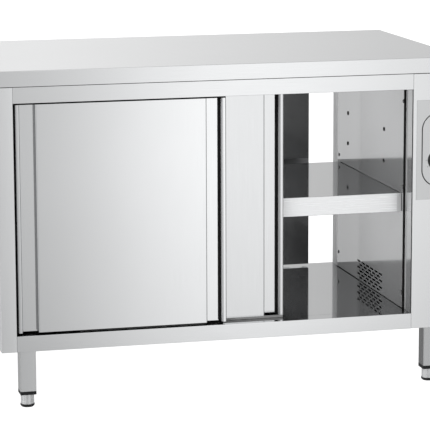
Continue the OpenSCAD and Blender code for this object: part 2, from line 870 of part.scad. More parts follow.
// The rocker turns about X. At rest its upper half stands out and its lower half is in.
module rocker_button() {
    w = switch_w / 2 - switch_rim - rocker_gap;
    h = rocker_r;
    color([0.75, 0.08, 0.06]) translate([control_x, plate_y, switch_z])
        rotate([rocker_tilt, 0, 0]) rotate([90, 0, 90]) {
            translate([0, 0, -w]) linear_extrude(2 * w)
                polygon([[-2.4, h], [-1.4, 0], [-2.4, -h], [3, 2.5 - h], [5, 0], [3, h - 2.5]]);
            cylinder(r = pivot_r, h = 2 * (w + pivot_l), center = true, $fn = fine_fn);
        }
}
module indicator_lamp() {
    color(amber) translate([control_x, 0, lamp_z]) {
        tube_y(lamp_r - seam, [plate_y - lamp_lip_t / 2, bezel_y + lamp_tail], fine_fn);
        tube_y(lamp_r + lamp_lip, [plate_y - lamp_lip_t, plate_y], fine_fn);
        tube_y(lamp_r - 1, [plate_y - lamp_dome, plate_y - lamp_lip_t / 2], fine_fn);
    }
}

// ---- Warm air unit ----
module fan_housing() {
    duct = [duct_y - duct_l / 2, duct_y + duct_l / 2];
    color([0.70, 0.71, 0.72]) difference() {
        block([duct_x, duct_x + duct_w], duct, [duct_z, duct_z + duct_h]);
        block([duct_x - cut, duct_x + duct_w - duct_t], [duct[0] + duct_t, duct[1] - duct_t],
            [duct_z + duct_t, duct_z + duct_h - duct_t]);
        // Inlet over the wheel
        block([fan_x - fan_r / 2, fan_x + fan_r], [duct_y - fan_l / 2, duct_y + fan_l / 2],
            [duct_z + duct_h - 2 * duct_t, duct_z + duct_h + cut]);
        translate([fan_x, 0, fan_z]) tube_y(fan_shaft_r + axle_gap, [duct[0] - cut, duct[1] + cut]);
        for (run = [0, heater_runs - 1]) heater_at(run)
            tube_y(heater_r + heater_gap, [duct[0] - cut, duct[0] + 2 * duct_t]);
    }
}
module fan_wheel() {
    ends = [duct_y - fan_l / 2, duct_y + fan_l / 2];
    color(dark_steel) translate([fan_x, 0, fan_z]) {
        for (y = [ends[0], duct_y - fan_disc / 2, ends[1] - fan_disc])
            tube_y(fan_r, [y, y + fan_disc], 64);
        for (i = [0 : fan_blades - 1]) rotate([0, i * 360 / fan_blades, 0])
            block([fan_r - blade_l, fan_r - blade_t / 2], ends, [-blade_t / 2, blade_t / 2]);
        tube_y(fan_shaft_r, [duct_y - duct_l / 2 - shaft_nose,
            duct_y + duct_l / 2 + shaft_end]);
    }
}
module fan_motor() {
    y = duct_y + duct_l / 2;
    color([0.35, 0.36, 0.38]) translate([fan_x, 0, fan_z]) difference() {
        union() {
            tube_y(motor_r, [y, y + motor_l]);
            block([-motor_r, motor_r], [y + motor_l / 4, y + motor_l * 3 / 4],
                [motor_foot - duct_h / 2, motor_r / 2]);
        }
        tube_y(fan_shaft_r + axle_gap, [y - cut, y + shaft_end + cut]);
    }
}
// Straight runs of tube joined by half turns, the two ends going out through the duct's end
module heater_at(run) {
    translate([heater_x, 0, fan_z + (run - (heater_runs - 1) / 2) * heater_pitch]) children();
}
module heater_element() {
    near = duct_y - heater_run_l / 2;
    far = duct_y + heater_run_l / 2;
    out = duct_y - duct_l / 2 - heater_out;
    color(copper) {
        for (run = [0 : heater_runs - 1])
            heater_at(run) tube_y(heater_r,
                [run == 0 || run == heater_runs - 1 ? out : near, far], fine_fn);
        for (run = [0 : heater_runs - 2]) {
            even = run % 2 == 0;
            translate([heater_x, even ? far : near,
                fan_z + (run + 0.5 - (heater_runs - 1) / 2) * heater_pitch])
                rotate([0, -90, 0]) rotate([0, 0, even ? 0 : 180])
                    rotate_extrude(angle = 180, $fn = round_fn)
                        translate([heater_pitch / 2, 0]) circle(r = heater_r, $fn = fine_fn);
        }
    }
}
module terminal_block() {
    color(nylon) difference() {
        block([gland_x - block_l / 2, gland_x + block_l / 2],
            [face_y - sheet - block_t, face_y - sheet], [block_z, block_z + block_h]);
        for (i = [0 : block_ways - 1])
            translate([gland_x + (i - (block_ways - 1) / 2) * block_l / (block_ways + 1), 0,
                block_z + block_h / 2])
                tube_y(block_hole_r, [face_y - sheet - block_t - cut,
                    face_y - sheet - block_t / 2], fine_fn);
    }
}
// A hexagonal gland with a nut inside the panel; a cord would come in through its bore
module cable_gland() {
    thread_end = face_y - sheet - gland_thread_end;
    color(black) translate([gland_x, 0, gland_z]) difference() {
        union() {
            tube_y(gland_hex_r, [face_y, face_y + gland_hex_h], 6);
            tube_y(gland_dome_r, [face_y, face_y + gland_h]);
            tube_y(gland_thread_r, [thread_end, face_y + cut]);
            tube_y(gland_hex_r, [face_y - sheet - gland_nut_h, face_y - sheet], 6);
        }
        tube_y(gland_r, [thread_end - cut, face_y + gland_h + cut]);
    }
}
module wire_run(a, b) {
    d = b - a;
    l = norm(d);
    translate(a) rotate([0, acos(d[2] / l), atan2(d[1], d[0])])
        cylinder(r = wire_r, h = l, $fn = fine_fn);
}
module wiring() {
    last = len(wire_route) - 1;
    color([0.15, 0.15, 0.17]) {
        for (i = [0 : last - 1]) wire_run(wire_route[i], wire_route[i + 1]);
        for (i = [1 : last - 1]) translate(wire_route[i]) sphere(r = wire_r, $fn = fine_fn);
    }
}

worktop();
left_side_panel();
right_side_panel();
front_top_rail();
rear_top_rail();
front_sill();
rear_sill();
control_front_panel();
control_rear_panel();
bottom_panel();
inner_floor();
inner_ceiling();
left_inner_wall();
right_inner_wall();
insulation();
door_tracks();
door_stops_and_guides();
wall_screws();
shelf();
shelf_clips();
legs();
leg_inserts();
at_leg(-1, -1) foot();  // foot_front_left
at_leg(1, -1) foot();  // foot_front_right
at_leg(-1, 1) foot();  // foot_rear_left
at_leg(1, 1) foot();  // foot_rear_right
at_leg(-1, -1) pad();  // pad_front_left
at_leg(1, -1) pad();  // pad_front_right
at_leg(-1, 1) pad();  // pad_rear_left
at_leg(1, 1) pad();  // pad_rear_right
front_left_door();
front_right_door();
rear_left_door();
rear_right_door();
front_left_door_liner();
front_right_door_liner();
rear_left_door_liner();
rear_right_door_liner();
front_left_roller(0);  // front_left_roller_a
front_left_roller(1);  // front_left_roller_b
front_right_roller(0);  // front_right_roller_a
front_right_roller(1);  // front_right_roller_b
rear_left_roller(0);  // rear_left_roller_a
rear_left_roller(1);  // rear_left_roller_b
rear_right_roller(0);  // rear_right_roller_a
rear_right_roller(1);  // rear_right_roller_b
control_plate();
control_bezel();
thermostat_knob();
thermostat_body();
rocker_housing();
rocker_button();
indicator_lamp();
heater_element();
fan_housing();
fan_wheel();
fan_motor();
terminal_block();
wiring();
cable_gland();
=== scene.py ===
"""A stainless plate warmer cabinet, dressed for a studio photograph.

The construction comes from the frame. This script rounds the folds of the sheets, adds the
small parts that only the eye needs, and gives every surface its finish. Metres.
"""
import json
import math
import bmesh
import bpy
from mathutils import Matrix, Vector

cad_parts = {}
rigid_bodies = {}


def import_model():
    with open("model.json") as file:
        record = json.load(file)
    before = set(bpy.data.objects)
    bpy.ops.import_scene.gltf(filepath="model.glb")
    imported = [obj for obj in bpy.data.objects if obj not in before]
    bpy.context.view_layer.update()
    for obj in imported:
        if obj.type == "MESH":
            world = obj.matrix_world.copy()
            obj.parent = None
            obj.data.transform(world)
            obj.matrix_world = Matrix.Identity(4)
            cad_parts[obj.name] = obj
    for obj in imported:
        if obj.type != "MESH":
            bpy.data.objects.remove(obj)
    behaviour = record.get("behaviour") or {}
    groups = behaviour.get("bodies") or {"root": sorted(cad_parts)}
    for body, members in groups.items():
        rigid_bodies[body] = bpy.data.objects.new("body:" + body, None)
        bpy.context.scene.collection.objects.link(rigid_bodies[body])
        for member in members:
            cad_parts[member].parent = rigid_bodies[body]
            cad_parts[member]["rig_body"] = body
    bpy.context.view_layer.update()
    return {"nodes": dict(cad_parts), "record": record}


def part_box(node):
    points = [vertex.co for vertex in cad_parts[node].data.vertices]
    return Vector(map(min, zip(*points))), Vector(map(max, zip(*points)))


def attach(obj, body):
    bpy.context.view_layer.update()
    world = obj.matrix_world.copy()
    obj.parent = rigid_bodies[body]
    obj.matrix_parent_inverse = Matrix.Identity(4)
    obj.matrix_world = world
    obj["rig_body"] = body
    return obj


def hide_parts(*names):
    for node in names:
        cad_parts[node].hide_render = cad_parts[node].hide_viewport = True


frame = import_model()
nodes = frame["nodes"]
MM = 0.001
DOORS = FEET = ("front_left", "front_right", "rear_left", "rear_right")


def linked(name, data):
    """A new object in the scene."""
    thing = bpy.data.objects.new(name, data)
    bpy.context.scene.collection.objects.link(thing)
    return thing


# ---- Camera, fitted to the photograph's edges
PHOTO_PX = 430
FOCAL_PX = 2394.2
SENSOR_MM = 36.0
CAMERA_AT = (-1.4876, -6.0648, 1.5346)
CAMERA_PITCH, CAMERA_YAW, CAMERA_ROLL = -10.222, -14.075, -0.209


def make_camera():
    data = bpy.data.cameras.new("camera")
    data.sensor_width = SENSOR_MM
    data.lens = FOCAL_PX / PHOTO_PX * SENSOR_MM
    camera = linked("camera", data)
    turn = Matrix.Rotation(math.radians(CAMERA_YAW), 4, "Z")
    tip = Matrix.Rotation(math.radians(90 + CAMERA_PITCH), 4, "X")
    roll = Matrix.Rotation(math.radians(CAMERA_ROLL), 4, "Z")
    camera.matrix_world = Matrix.Translation(CAMERA_AT) @ turn @ tip @ roll
    bpy.context.scene.camera = camera


make_camera()

# ---- Materials
# Nearly all of a noise lies between these
NOISE_LOW, NOISE_HIGH = 0.3, 0.7


class Graph:
    """A material's nodes, made and wired with short calls."""

    def __init__(self, material):
        material.use_nodes = True
        self.tree = material.node_tree
        self.shader = self.tree.nodes["Principled BSDF"]

    def feed(self, node, socket, value):
        """Puts a constant or another node's output on a socket."""
        if isinstance(value, bpy.types.NodeSocket):
            self.tree.links.new(value, node.inputs[socket])
        else:
            node.inputs[socket].default_value = value

    def node(self, kind, **inputs):
        """A new node; an underscore in an input's name stands for a space."""
        made = self.tree.nodes.new(kind)
        for name, value in inputs.items():
            self.feed(made, name.replace("_", " "), value)
        return made

    def noise(self, scale, detail, stretch=(1, 1, 1)):
        """Noise in object coordinates, in metres, drawn out along the axes with a small stretch."""
        place = self.node("ShaderNodeTexCoord")
        mapping = self.node("ShaderNodeMapping", Vector=place.outputs["Object"], Scale=stretch)
        made = self.node("ShaderNodeTexNoise", Vector=mapping.outputs["Vector"], Scale=scale,
                         Detail=detail)
        return made.outputs["Fac"]

    def spread(self, noise, low, high):
        """A noise turned into a value from low to high."""
        made = self.node("ShaderNodeMapRange", Value=noise, From_Min=NOISE_LOW, From_Max=NOISE_HIGH,
                         To_Min=low, To_Max=high)
        return made.outputs["Result"]

    def tint(self, noise, dark, light):
        """A noise turned into a colour between dark and light."""
        made = self.tree.nodes.new("ShaderNodeMix")
        made.data_type = "RGBA"
        made.inputs["A"].default_value = (*dark, 1)
        made.inputs["B"].default_value = (*light, 1)
        self.tree.links.new(self.spread(noise, 0, 1), made.inputs["Factor"])
        return made.outputs["Result"]

    def bump(self, height, distance):
        made = self.node("ShaderNodeBump", Height=height, Distance=distance, Strength=1.0)
        self.feed(self.shader, "Normal", made.outputs["Normal"])


FINISH = {}


def new_finish(name):
    """The graph of a new material, which FINISH has under its name."""
    FINISH[name] = bpy.data.materials.new(name)
    return Graph(FINISH[name])


def grey(level):
    """A nearly neutral steel tone, a little cool."""
    return (level * 0.99, level, level * 1.01)


# The grain of a sheet: its lines' scale, how they are drawn out, and how deep they are
GRAIN_SCALE = 900.0
GRAIN_ALONG = {"X": (0.012, 1, 1), "Y": (1, 0.012, 1), "Z": (1, 1, 0.012)}
GRAIN, SOFT_GRAIN, FINE_GRAIN, FAINT_GRAIN = 0.000003, 0.000002, 0.000001, 0.0000005
SMEAR, SMEAR_SCALE = 0.03, 3.0


def sheet_metal(name, tone, roughness, along="X", grain=GRAIN, matt=0.0):
    """Stainless sheet: fine grain lines along one axis and faint cloudy smears.

    matt is the share of it that doesn't mirror."""
    g = new_finish(name)
    lines = g.noise(GRAIN_SCALE, 2.0, GRAIN_ALONG[along])
    clouds = g.noise(SMEAR_SCALE, 4.0)
    g.feed(g.shader, "Base Color", g.tint(clouds, grey(tone * (1 - SMEAR)), grey(tone)))
    g.shader.inputs["Metallic"].default_value = 1.0 - matt
    g.feed(g.shader, "Roughness", g.spread(lines, roughness * 0.85, roughness * 1.15))
    g.bump(lines, grain)


# The skin of a moulded part: its scale and depth, and the mottle of its colour
SKIN_SCALE, SKIN_DEPTH = 1500.0, 0.00002
MOTTLE_SCALE, MOTTLE_DARK = 60.0, 0.85


def plastic(name, colour, roughness, specular=0.5):
    """Moulded plastic or rubber with a fine spark-eroded skin."""
    g = new_finish(name)
    g.shader.inputs["Specular IOR Level"].default_value = specular
    skin = g.noise(SKIN_SCALE, 2.0)
    dark = tuple(c * MOTTLE_DARK for c in colour)
    g.feed(g.shader, "Base Color", g.tint(g.noise(MOTTLE_SCALE, 3.0), dark, colour))
    g.feed(g.shader, "Roughness", g.spread(skin, roughness * 0.9, roughness * 1.1))
    g.bump(skin, SKIN_DEPTH)


def wool(name, dark, light):
    """Mineral wool: a matted yellow-brown fibre."""
    g = new_finish(name)
    fibre = g.noise(350.0, 8.0, (1, 1, 0.25))
    g.feed(g.shader, "Base Color", g.tint(fibre, dark, light))
    g.shader.inputs["Roughness"].default_value = 0.95
    g.bump(fibre, 0.002)


# Tone, roughness, the grain's direction and depth, and the matt share
sheet_metal("brushed_sheet", 0.80, 0.13)
sheet_metal("upright_sheet", 0.80, 0.13, "Z")
sheet_metal("side_sheet", 0.80, 0.20, "Z", matt=0.4)
sheet_metal("post_sheet", 0.93, 0.14, "Z")
sheet_metal("polished_sheet", 0.52, 0.06, "Y", FINE_GRAIN, 0.015)
sheet_metal("wall_sheet", 0.64, 0.10, "Z", FINE_GRAIN, 0.25)
sheet_metal("door_sheet", 0.82, 0.10, "Z", SOFT_GRAIN)
# A darker copy of the door sheet for the two doors in the inner tracks: painted shade
sheet_metal("inner_door_shade_sheet", 0.71, 0.11, "Z", SOFT_GRAIN)
# A lighter, partly matt copy of the sheet for the control panels' rounded folds: a painted highlight
sheet_metal("fold_highlight_sheet", 0.86, 0.18, "X", matt=0.3)
sheet_metal("shelf_edge_sheet", 0.84, 0.25, "X", FAINT_GRAIN, 0.75)
sheet_metal("flange_sheet", 0.55, 0.30, "Z", FINE_GRAIN, 0.8)
sheet_metal("seam_sheet", 0.36, 0.30, "Z", FINE_GRAIN, 0.8)
sheet_metal("lip_side_sheet", 0.80, 0.25, "Z", FINE_GRAIN, 0.8)
# Nearly black: the duct's black paint, darkened further as painted shade seen through the grille slots
sheet_metal("duct_sheet", 0.03, 0.60, "Y", matt=0.7)
sheet_metal("liner_sheet", 0.20, 0.10, "Z", FINE_GRAIN, 0.15)
sheet_metal("plate_sheet", 0.63, 0.14, "Z")
sheet_metal("leg_sheet", 0.74, 0.22, "Z")
# A darker copy of the leg steel for the right legs' fronts: painted shade
sheet_metal("right_leg_shade_sheet", 0.56, 0.22, "Z")
sheet_metal("zinc_steel", 0.62, 0.33, "X")
sheet_metal("foot_steel", 0.72, 0.24, "Z", matt=0.35)
sheet_metal("track_aluminium", 0.60, 0.30, "X")
sheet_metal("heater_sheath", 0.07, 0.50, "Y")
wool("mineral_wool", (0.36, 0.28, 0.13), (0.62, 0.52, 0.30))
# black_rubber is real rubber on some parts, and painted shade on the black strips in gaps, creases, the grip
# and the grille slots
plastic("black_rubber", (0.006, 0.006, 0.006), 0.75, 0.12)
plastic("black_plastic", (0.010, 0.010, 0.011), 0.42, 0.25)
plastic("white_nylon", (0.80, 0.79, 0.75), 0.40)
plastic("knob_plastic", (0.016, 0.016, 0.017), 0.32)
plastic("rocker_red", (0.45, 0.012, 0.010), 0.22)
plastic("lamp_lens", (0.85, 0.25, 0.02), 0.12)
# The inner doors' wipers: grey rubber whose grey is a painted reflection of the door in the sill
plastic("wiper_reflection_grey", (0.36, 0.36, 0.36), 0.60, 0.3)
plastic("pale_plastic", (0.74, 0.72, 0.66), 0.45)
plastic("cable_black", (0.025, 0.025, 0.027), 0.48)
plastic("mark_white", (0.82, 0.82, 0.80), 0.50)
# mark_black is print on the dial, and painted shade on the screws' crosses and the bezel's groove floor
plastic("mark_black", (0.030, 0.030, 0.030), 0.50)

SLOTS = {s["node"]: s["material_slot"] for s in frame["record"]["subparts"]}
OTHER_FINISH = {
    "legs": "leg_sheet", "left_side_panel": "post_sheet", "right_side_panel": "upright_sheet",
    "control_front_panel": "upright_sheet", "control_rear_panel": "upright_sheet",
    "left_inner_wall": "wall_sheet", "right_inner_wall": "wall_sheet",
    "control_plate": "plate_sheet", "control_bezel": "plate_sheet", "fan_housing": "duct_sheet",
    # The doors in the inner tracks take the darker door sheet: painted shade
    "front_right_door": "inner_door_shade_sheet", "rear_left_door": "inner_door_shade_sheet",
}


def finish_of(node):
    """The material a CAD node gets: its record slot's, apart from the few named above."""
    return FINISH[OTHER_FINISH.get(node, SLOTS[node])]


def paint(thing, *materials):
    # Clearing even an empty list puts every face back on the first material
    if len(thing.data.materials):
        thing.data.materials.clear()
    for material in materials:
        thing.data.materials.append(material)


for name, thing in nodes.items():
    paint(thing, finish_of(name))

# ---- Shapes made from the CAD nodes
WELD = 0.00001
FOLD_ANGLE = math.radians(30)
SMOOTH_ANGLE = math.radians(35)


def on_limits(edge, low, high, slack=0.00002):
    """True if the edge runs along an edge of the box from low to high."""
    hits = 0
    for axis in range(3):
        at = [v.co[axis] for v in edge.verts]
        if all(abs(a - low[axis]) < slack for a in at) or all(abs(a - high[axis]) < slack for a in at):
            hits += 1
    return hits >= 2


def piece_from(form, name, body, *materials):
    """A finished bmesh made into a piece that rides with a body, smooth with its flats kept flat."""
    mesh = bpy.data.meshes.new(name)
    form.to_mesh(mesh)
    form.free()
    piece = linked(name, mesh)
    paint(piece, *materials)
    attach(piece, body)
    mesh.polygons.foreach_set("use_smooth", [True] * len(mesh.polygons))
    mesh.set_sharp_from_angle(angle=SMOOTH_ANGLE)
    weighted = piece.modifiers.new("flats", "WEIGHTED_NORMAL")
    weighted.keep_sharp = True
    return piece


def copy_of(node):
    """The CAD node's mesh, welded, with its flat faces joined up."""
    form = bmesh.new()
    form.from_mesh(nodes[node].data)
    bmesh.ops.remove_doubles(form, verts=form.verts, dist=WELD)
    bmesh.ops.dissolve_limit(form, angle_limit=math.radians(1), verts=form.verts, edges=form.edges)
    return form


def stands_for(piece, node):
    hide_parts(node)
    return piece


def rounded(node, radius, pick, segments=3, second=None, second_at=None, fold=None):
    """A copy of a CAD node with the picked edges rounded, standing for that node.

    second is a finish for the faces that second_at picks, and fold one for the rounded edges."""
    form = copy_of(node)
    chosen = [e for e in form.edges
              if len(e.link_faces) == 2 and e.calc_face_angle(0) > FOLD_ANGLE and pick(e)]
    if second_at:
        for face in form.faces:
            face.material_index = 1 if second_at(face) else 0
    bmesh.ops.bevel(form, geom=chosen, offset=radius, segments=segments, profile=0.5,
                    affect="EDGES", clamp_overlap=True, material=2 if fold else -1)
    materials = [finish_of(node)] + [FINISH[name] for name in (second, fold) if name]
    return stands_for(piece_from(form, node + "_eased", nodes[node]["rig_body"], *materials), node)


def folded(node, radius, **options):
    """The sheet's outer folds rounded: the edges of its box."""
    low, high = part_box(node)
    return rounded(node, radius, lambda e: on_limits(e, low, high), **options)


def eased(node, radius, **options):
    """Every sharp outer edge taken off, as on a moulded or tumbled part."""
    return rounded(node, radius, lambda e: e.is_convex, 2, **options)


def faces_x(face, sign):
    return face.normal.x * sign > 0.9


# Sheets. The left panel's inner face lies within INSIDE_Y and its outer face beyond OUTSIDE_X,
# and the shelf's front and rear edges lie beyond SHELF_EDGE_Y
INSIDE_Y, OUTSIDE_X = 0.348, -0.58
SHELF_EDGE_Y = 0.2705
folded("worktop", 1.6 * MM)
side = folded("left_side_panel", 1.2 * MM, second="wall_sheet",
              second_at=lambda f: faces_x(f, 1) and abs(f.calc_center_median().y) < INSIDE_Y)
side.data.materials.append(FINISH["side_sheet"])
for face in side.data.polygons:
    if faces_x(face, -1) and face.center.x < OUTSIDE_X:
        face.material_index = 2
folded("right_side_panel", 0.7 * MM)
# The control panels' rounded folds take that lighter finish as a painted highlight
for name, finish in (("control_front_panel", "wall_sheet"), ("control_rear_panel", "flange_sheet")):
    folded(name, 2.0 * MM, second=finish, second_at=lambda f: faces_x(f, -1), fold="fold_highlight_sheet")
for end in ("front", "rear"):
    folded(end + "_top_rail", 0.7 * MM)
    folded(end + "_sill", 0.7 * MM, second="polished_sheet", second_at=lambda f: f.normal.z > 0.9)
folded("shelf", 1.5 * MM, second="shelf_edge_sheet",
       second_at=lambda f: abs(f.normal.y) > 0.9 and abs(f.calc_center_median().y) > SHELF_EDGE_Y)

# Legs, with painted shade on the fronts of the right ones: a darker copy of the leg steel. An upright edge
# is at least this long
LEG_EDGE_MIN = 0.05


def upright(edge):
    a, b = edge.verts
    return edge.is_convex and abs(a.co.z - b.co.z) > LEG_EDGE_MIN


rounded("legs", 1.2 * MM, upright, second="right_leg_shade_sheet",
        second_at=lambda f: f.normal.y < -0.9 and f.calc_center_median().x > 0)
eased("leg_inserts", 0.8 * MM)
for foot in FEET:
    eased("pad_" + foot, 0.6 * MM)

# Doors: a grip's lips are LIP_W wide, and its floor lies GRIP_FLOOR deep between them
LIP_W, GRIP_FLOOR = 0.011, 0.020


def lip_side(door):
    """Picks the side of the right lip that faces the grip."""
    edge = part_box(door + "_door")[1][0]
    return lambda f: faces_x(f, -1) and abs(edge - LIP_W - f.calc_center_median().x) < 0.8 * MM


def shut_edge(face):
    """Picks the closing edge of the rear right door, which has a black buffer."""
    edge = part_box("rear_right_door")[1][0]
    return faces_x(face, 1) and face.calc_center_median().x > edge - 0.5 * MM


for door in DOORS:
    if door == "rear_right":
        eased("rear_right_door", 0.4 * MM, second="black_rubber", second_at=shut_edge)
    else:
        eased(door + "_door", 0.4 * MM, second="lip_side_sheet", second_at=lip_side(door))
    eased(door + "_door_liner", 0.4 * MM)
    for end in "ab":
        eased(door + "_roller_" + end, 0.4 * MM)
for name, radius in (("control_plate", 0.35), ("thermostat_body", 0.8), ("rocker_housing", 0.5),
                     ("rocker_button", 0.35), ("indicator_lamp", 0.5), ("terminal_block", 0.6),
                     ("fan_motor", 1.0), ("shelf_clips", 0.4), ("cable_gland", 0.6),
                     ("door_stops_and_guides", 0.4), ("thermostat_knob", 0.7)):
    eased(name, radius * MM)

# The faces of the inner walls. The right one has a grille, whose slots' sides and rounded cut edges are
# painted black as painted shade
WALL_L, WALL_R = -0.557, 0.462
GRILLE_LOW, GRILLE_HIGH, GRILLE_Y = 0.1925, 0.252, 0.28
SLOT_AREA = 0.0003


def in_slot(face):
    at = face.calc_center_median()
    return (abs(face.normal.x) < 0.1 and GRILLE_LOW < at.z < GRILLE_HIGH and abs(at.y) < GRILLE_Y
            and face.calc_area() < SLOT_AREA)


def slot_rim(edge):
    return edge.is_convex and all(
        abs(v.co.x - WALL_R) < 0.1 * MM and GRILLE_LOW < v.co.z < GRILLE_HIGH and abs(v.co.y) < GRILLE_Y
        for v in edge.verts)


# The slots' sides and their rounded front edges are black rubber as painted shade
rounded("right_inner_wall", 0.45 * MM, slot_rim, segments=2, second="black_rubber", second_at=in_slot,
        fold="black_rubber")

# The long round panel stands in its groove, whose floor is painted black: a painted shadow
GROOVE_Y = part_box("control_bezel")[0][1] + 0.0006
eased("control_bezel", 0.35 * MM, second="mark_black",
      second_at=lambda f: f.calc_center_median().y > GROOVE_Y)


# ---- Small parts
def bar(form, a, b):
    """A box between two corners, added to a form. Gives its vertices."""
    size = [abs(q - p) for p, q in zip(a, b)]
    middle = [(p + q) / 2 for p, q in zip(a, b)]
    matrix = Matrix.Translation(middle) @ Matrix.Diagonal((*size, 1))
    return bmesh.ops.create_cube(form, size=1, matrix=matrix)["verts"]


def turned(form, profile, matrix, steps=32, capped=True):
    """A profile of (radius, height) turned about Z, moved by matrix and added to a form."""
    rings = []
    for radius, height in profile:
        ring = []
        for i in range(steps):
            a = 2 * math.pi * i / steps
            at = Vector((radius * math.cos(a), radius * math.sin(a), height))
            ring.append(form.verts.new(matrix @ at))
        rings.append(ring)
    for low, high in zip(rings, rings[1:]):
        for i in range(steps):
            j = (i + 1) % steps
            form.faces.new((low[i], low[j], high[j], high[i]))
    if capped:
        form.faces.new(list(reversed(rings[0])))
        form.faces.new(rings[-1])


def along(axis, at):
    """A matrix that stands Z along a direction and moves the origin to a place."""
    turn = Vector((0, 0, 1)).rotation_difference(Vector(axis)).to_matrix().to_4x4()
    return Matrix.Translation(at) @ turn


def shown(form, name, body, finish):
    """A form of small parts made into a piece."""
    bmesh.ops.recalc_face_normals(form, faces=form.faces)
    piece = piece_from(form, name, body, FINISH[finish])
    return piece


def bars(name, body, corners, finish="black_rubber"):
    """A piece of plain bars, each between two corners."""
    form = bmesh.new()
    for a, b in corners:
        bar(form, a, b)
    shown(form, name, body, finish)


def ends(node, axis):
    """Both ends of a node's box along an axis, each with the sign of the way out."""
    low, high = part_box(node)
    return (low[axis], -1), (high[axis], 1)


# Knob: a white line in the pointer's groove, and flutes round the skirt
PANEL_X, PLATE_Y = 0.5325, -0.350
KNOB_AT = Vector((PANEL_X, PLATE_Y, 0.5865))
KNOB_R, GRIP_R = 0.0265, 0.01855
KNOB_RIBS = 36
RIB = [(0.0001, 0), (0.0007, 0.0004), (0.0007, 0.0026), (0.0001, 0.003)]
LINE_W, LINE_INSET = 0.0014, 0.0025


def make_knob():
    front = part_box("thermostat_knob")[0][1]
    bars("knob_pointer_line", "thermostat_knob",
         [((KNOB_AT.x - LINE_W / 2, front + 0.0001, KNOB_AT.z + LINE_INSET),
           (KNOB_AT.x + LINE_W / 2, front + 0.0007, KNOB_AT.z + GRIP_R - LINE_INSET))], "mark_white")
    form = bmesh.new()
    for i in range(KNOB_RIBS):
        a = 2 * math.pi * i / KNOB_RIBS
        spot = Vector(((KNOB_R - 0.0002) * math.cos(a), 0, (KNOB_R - 0.0002) * math.sin(a)))
        turned(form, RIB, along((0, 1, 0), KNOB_AT + spot + Vector((0, -0.004, 0))), 8)
    # No rib stands out of the skirt
    for v in form.verts:
        flat = Vector((v.co.x - KNOB_AT.x, 0, v.co.z - KNOB_AT.z))
        if flat.length > KNOB_R:
            flat = flat.normalized() * KNOB_R
            v.co.x, v.co.z = KNOB_AT.x + flat.x, KNOB_AT.z + flat.z
    shown(form, "knob_ribs", "thermostat_knob", "knob_plastic")


# How far a mark stands out of its face
MARK_OUT = 0.0001


def lettering(text, size, at, name, body, finish, turn=None):
    """Flat raised lettering that faces -Y, its middle at a point."""
    curve = bpy.data.curves.new(name, "FONT")
    curve.body = text
    curve.size = size
    curve.align_x, curve.align_y = "CENTER", "CENTER"
    curve.extrude = MARK_OUT
    maker = linked(name, curve)
    bpy.context.view_layer.update()
    mesh = bpy.data.meshes.new_from_object(maker)
    bpy.data.objects.remove(maker)
    stand = Matrix.Rotation(math.radians(90), 4, "X")
    mesh.transform(Matrix.Translation(at) @ (turn or Matrix()) @ stand)
    piece = linked(name, mesh)
    paint(piece, FINISH[finish])
    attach(piece, body)


# Dial: ticks and plain numbers round the knob, clockwise from the top
DIAL_FROM, DIAL_TO, DIAL_NUMBER = 0.0278, 0.0298, 0.0322
DIAL_STEPS, DIAL_TURN = 9, 270
TICK_W, NUMBER_SIZE = 0.0005, 0.0040


def make_dial():
    form = bmesh.new()
    for i in range(DIAL_STEPS + 1):
        tick = bar(form, (-TICK_W / 2, -MARK_OUT, DIAL_FROM), (TICK_W / 2, MARK_OUT, DIAL_TO))
        turn = Matrix.Rotation(math.radians(DIAL_TURN * i / DIAL_STEPS), 4, "Y")
        bmesh.ops.transform(form, matrix=Matrix.Translation(KNOB_AT) @ turn, verts=tick)
    shown(form, "dial_ticks", "cabinet", "mark_black")
    for i in range(DIAL_STEPS + 1):
        a = math.radians(DIAL_TURN * i / DIAL_STEPS)
        spot = Vector((math.sin(a) * DIAL_NUMBER, 0, math.cos(a) * DIAL_NUMBER))
        lettering(str(i), NUMBER_SIZE, KNOB_AT + spot, "dial_number_%d" % i, "cabinet", "mark_black")


# Rocker: I above, O below, on its two sloping faces
ROCKER_AT = Vector((PANEL_X, PLATE_Y, 0.660))
ROCKER_TILT = Matrix.Rotation(math.radians(8), 4, "X")
ROCKER_SLOPE = -5.4
ROCKER_MARK = Vector((0, -0.00192, 0.0053))
ROCKER_SIZE = 0.0055


def mark_rocker():
    """I and O on the two faces of the rocker, which stands tilted."""
    for text, side in (("I", 1), ("O", -1)):
        slope = Matrix.Rotation(math.radians(ROCKER_SLOPE * side), 4, "X")
        spot = ROCKER_TILT @ Vector((0, ROCKER_MARK.y, ROCKER_MARK.z * side))
        lettering(text, ROCKER_SIZE, ROCKER_AT + spot, "rocker_mark_" + text, "rocker_button", "mark_white",
                  ROCKER_TILT @ slope)


# The inner walls, each with the sign of the way in, and the height from the floor to the ceiling,
# of which the walls' trim leaves a little free at both ends
WALLS = ((WALL_L, 1), (WALL_R, -1))
FLOOR_Z, CEILING_Z = 0.190, 0.770
LOW_Z, HIGH_Z = FLOOR_Z + 0.0005, CEILING_Z - 0.0005

# Domed screws on black washers, in the flanges of the inner walls. Their cross recess is painted shade:
# black bars in the dome's top
SCREWS = [(x, way, y, z) for x, way in WALLS for y in (-0.280, 0.280) for z in (0.732, 0.510, 0.233)]
SCREW = [(0.00175, -0.009), (0.00175, 0), (0.0035, 0), (0.0034, 0.0006), (0.0029, 0.0011),
         (0.0020, 0.00145), (0.0008, 0.0016)]
WASHER_T = 0.0010
WASHER = [(0.0048, 0.00005 - WASHER_T), (0.0048, -0.0002), (0.0046, 0)]
CROSS_LOW, CROSS_HIGH = WASHER_T + 0.0012, WASHER_T + 0.00159
CROSS_L, CROSS_W = 0.0016, 0.0003


